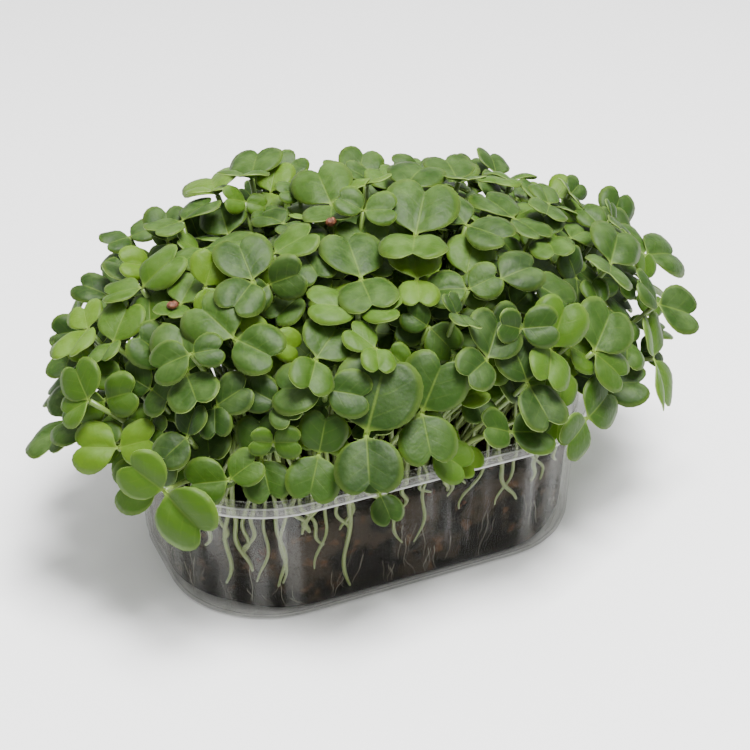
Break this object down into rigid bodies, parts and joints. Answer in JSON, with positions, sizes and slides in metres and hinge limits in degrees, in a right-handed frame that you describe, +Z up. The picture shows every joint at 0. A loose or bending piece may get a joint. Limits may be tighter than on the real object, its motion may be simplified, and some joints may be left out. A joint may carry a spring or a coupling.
{
  "type": "microgreens tray",
  "caption": "Clear plastic punnet of dark growing medium with a dense domed canopy of brassica seedlings, each stem with two notched heart shaped seed leaves.",
  "frame": {"origin": "middle of the tray's flat underside", "axes": "+X along the long side of the tray and of the canopy, +Y to the back, +Z up"},
  "size_m": [0.2179, 0.1466, 0.1135],
  "materials": {
    "clear_plastic": "clear, slightly hazy thermoformed sheet",
    "growing_medium": "rough, dark grey brown, moist",
    "seedling_green": "satin leaf green with a grey bloom",
    "seed_hull": "wrinkled red brown husk"
  },
  "bodies": {
    "root": {"tray": "clear_plastic", "soil": "growing_medium", "seedlings_01": "seedling_green", "seedlings_02": "seedling_green", "seedlings_03": "seedling_green", "seedlings_04": "seedling_green", "seedlings_05": "seedling_green", "seedlings_06": "seedling_green", "seedlings_07": "seedling_green", "seedlings_08": "seedling_green", "seedlings_09": "seedling_green", "seedlings_10": "seedling_green", "seedlings_11": "seedling_green", "seedlings_12": "seedling_green", "seedlings_13": "seedling_green", "seedlings_14": "seedling_green", "seedlings_15": "seedling_green", "seedlings_16": "seedling_green", "seedlings_17": "seedling_green", "seedlings_18": "seedling_green", "seedlings_19": "seedling_green", "seedlings_20": "seedling_green", "seedlings_21": "seedling_green", "seedlings_22": "seedling_green", "seedlings_23": "seedling_green", "seedlings_24": "seedling_green", "seedlings_25": "seedling_green", "seedlings_26": "seedling_green", "seedlings_27": "seedling_green", "seedlings_28": "seedling_green", "seedlings_29": "seedling_green", "seedlings_30": "seedling_green", "seedlings_31": "seedling_green", "seedlings_32": "seedling_green", "seedlings_33": "seedling_green", "seedlings_34": "seedling_green", "seedlings_35": "seedling_green", "seedlings_36": "seedling_green", "seedlings_37": "seedling_green", "seedlings_38": "seedling_green", "seedlings_39": "seedling_green", "seed_hull_01": "seed_hull", "seed_hull_02": "seed_hull"}
  },
  "joints": []
}
